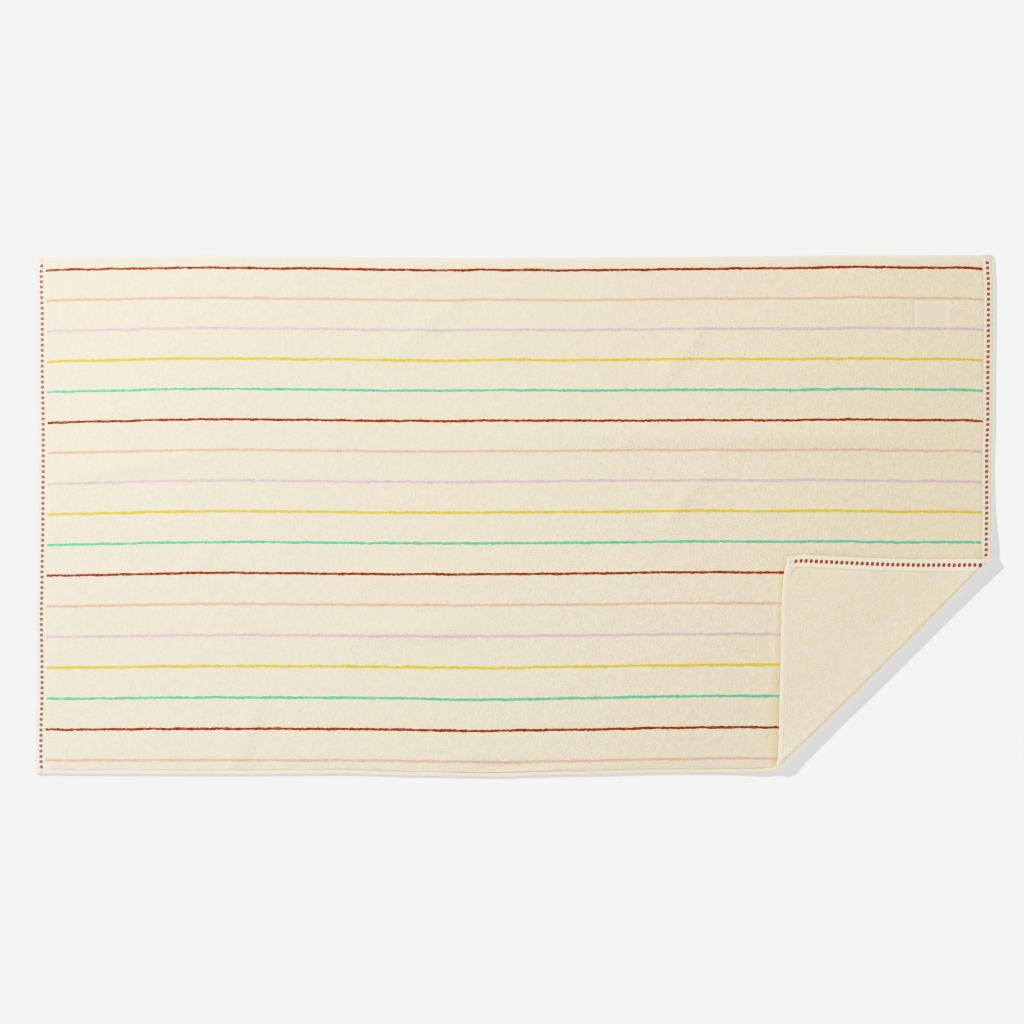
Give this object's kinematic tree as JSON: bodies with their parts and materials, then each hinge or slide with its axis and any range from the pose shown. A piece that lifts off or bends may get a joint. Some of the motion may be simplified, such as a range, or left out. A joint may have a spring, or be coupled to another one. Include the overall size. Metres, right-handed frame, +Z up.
{
  "type": "folded bath towel",
  "caption": "Rectangular terry bath towel lying face up and flat, striped along its length, with one corner folded over diagonally.",
  "frame": {"origin": "middle of the towel's outline on the surface that it lies on", "axes": "+X along the towel towards the end with the folded corner, +Y across the width away from the folded corner, +Z up out of the face"},
  "size_m": [1.3032, 0.7123, 0.0133],
  "materials": {
    "towel": "cream cotton velour with thin coloured stripes, plain terry loops on the reverse"
  },
  "bodies": {
    "root": {"towel": "towel"}
  },
  "joints": []
}
